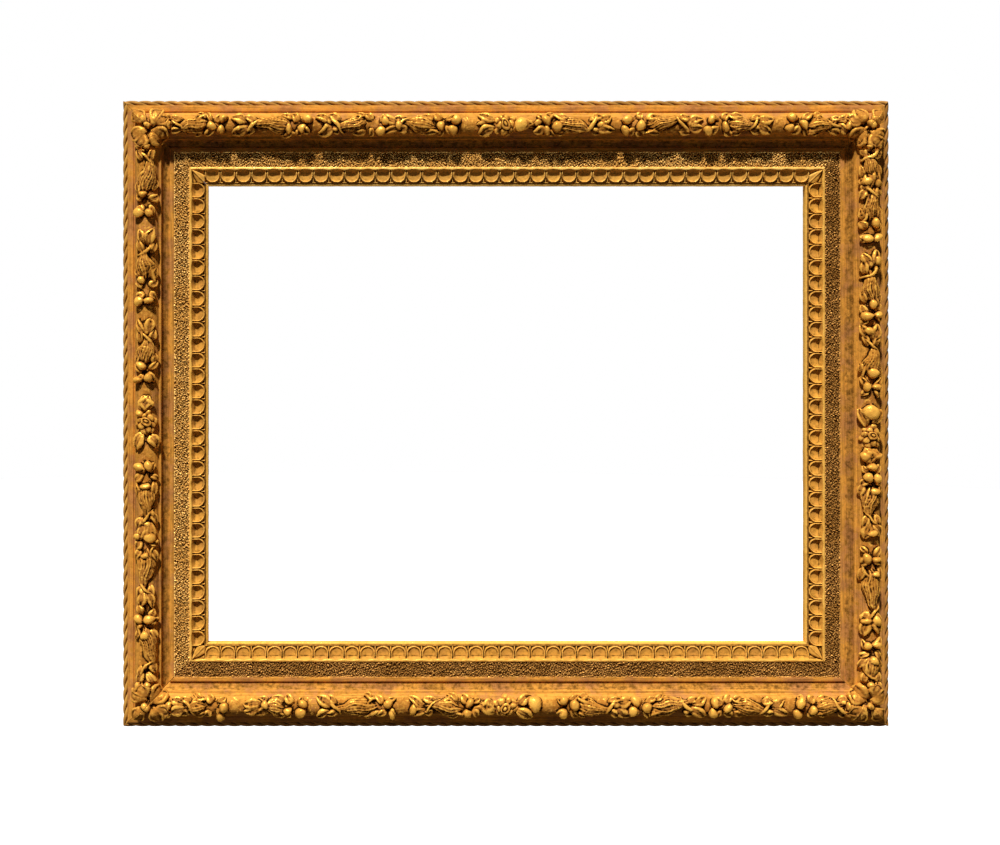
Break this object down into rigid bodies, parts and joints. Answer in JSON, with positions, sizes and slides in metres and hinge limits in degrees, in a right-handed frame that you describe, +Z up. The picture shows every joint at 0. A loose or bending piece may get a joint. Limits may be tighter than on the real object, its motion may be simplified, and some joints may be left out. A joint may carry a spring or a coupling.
{
  "type": "picture frame",
  "caption": "Rectangular gilded wall frame with a rope edge, leaf-and-berry half-round, cove, sanded frieze and hollowed egg band, mitred, with turn buttons and ring hangers.",
  "frame": {"origin": "middle of the frame, on the plane of the carcass's back", "axes": "+X to the right as seen from the front, +Z up, +Y backwards to the wall, so the ornament faces -Y"},
  "size_m": [0.821, 0.0577, 0.671],
  "materials": {
    "pine": "aged bare softwood",
    "key_wood": "aged bare hardwood",
    "gilt_moulding": "gilded, satin",
    "gilt_sand": "sanded and gilded",
    "gilt_sight": "gilded, satin",
    "gilt_composition": "gilded, satin",
    "brass": "aged",
    "steel": "dull"
  },
  "bodies": {
    "frame": {"carcass_rail_bottom": "pine", "torus_rail_bottom": "gilt_moulding", "rope_strip_bottom": "gilt_composition", "frieze_slip_bottom": "gilt_sand", "sight_moulding_bottom": "gilt_sight", "garland_bottom": "gilt_composition", "rosette_bottom": "gilt_composition", "carcass_rail_right": "pine", "torus_rail_right": "gilt_moulding", "rope_strip_right": "gilt_composition", "frieze_slip_right": "gilt_sand", "sight_moulding_right": "gilt_sight", "garland_right": "gilt_composition", "rosette_right": "gilt_composition", "carcass_rail_top": "pine", "torus_rail_top": "gilt_moulding", "rope_strip_top": "gilt_composition", "frieze_slip_top": "gilt_sand", "sight_moulding_top": "gilt_sight", "garland_top": "gilt_composition", "rosette_top": "gilt_composition", "carcass_rail_left": "pine", "torus_rail_left": "gilt_moulding", "rope_strip_left": "gilt_composition", "frieze_slip_left": "gilt_sand", "sight_moulding_left": "gilt_sight", "garland_left": "gilt_composition", "rosette_left": "gilt_composition", "mitre_key_bottom_right": "key_wood", "corner_leaf_bottom_right": "gilt_composition", "mitre_key_top_right": "key_wood", "corner_leaf_top_right": "gilt_composition", "mitre_key_top_left": "key_wood", "corner_leaf_top_left": "gilt_composition", "mitre_key_bottom_left": "key_wood", "corner_leaf_bottom_left": "gilt_composition", "button_screws": "steel", "strap_left": "brass", "strap_right": "brass", "strap_screws": "steel"},
    "turn_button_1": {"turn_button_1": "brass"},
    "turn_button_2": {"turn_button_2": "brass"},
    "turn_button_3": {"turn_button_3": "brass"},
    "turn_button_4": {"turn_button_4": "brass"},
    "turn_button_5": {"turn_button_5": "brass"},
    "turn_button_6": {"turn_button_6": "brass"},
    "d_ring_left": {"d_ring_left": "brass"},
    "d_ring_right": {"d_ring_right": "brass"}
  },
  "joints": [
    {"name": "turn_button_1_turn", "type": "hinge", "parent": "frame", "child": "turn_button_1", "pos_m": [-0.15, 0.0013, -0.2635], "axis": [0, 1, 0], "continuous": true},
    {"name": "turn_button_2_turn", "type": "hinge", "parent": "frame", "child": "turn_button_2", "pos_m": [0.15, 0.0013, -0.2635], "axis": [0, 1, 0], "continuous": true},
    {"name": "turn_button_3_turn", "type": "hinge", "parent": "frame", "child": "turn_button_3", "pos_m": [0.3385, 0.0013, 0], "axis": [0, 1, 0], "continuous": true},
    {"name": "turn_button_4_turn", "type": "hinge", "parent": "frame", "child": "turn_button_4", "pos_m": [0.15, 0.0013, 0.2635], "axis": [0, 1, 0], "continuous": true},
    {"name": "turn_button_5_turn", "type": "hinge", "parent": "frame", "child": "turn_button_5", "pos_m": [-0.15, 0.0013, 0.2635], "axis": [0, 1, 0], "continuous": true},
    {"name": "turn_button_6_turn", "type": "hinge", "parent": "frame", "child": "turn_button_6", "pos_m": [-0.3385, 0.0013, 0], "axis": [0, 1, 0], "continuous": true},
    {"name": "d_ring_left_swing", "type": "hinge", "parent": "frame", "child": "d_ring_left", "pos_m": [-0.3675, 0.0026, 0.12], "axis": [1, 0, 0], "range_deg": [0, 180]},
    {"name": "d_ring_right_swing", "type": "hinge", "parent": "frame", "child": "d_ring_right", "pos_m": [0.3675, 0.0026, 0.12], "axis": [1, 0, 0], "range_deg": [0, 180]}
  ]
}
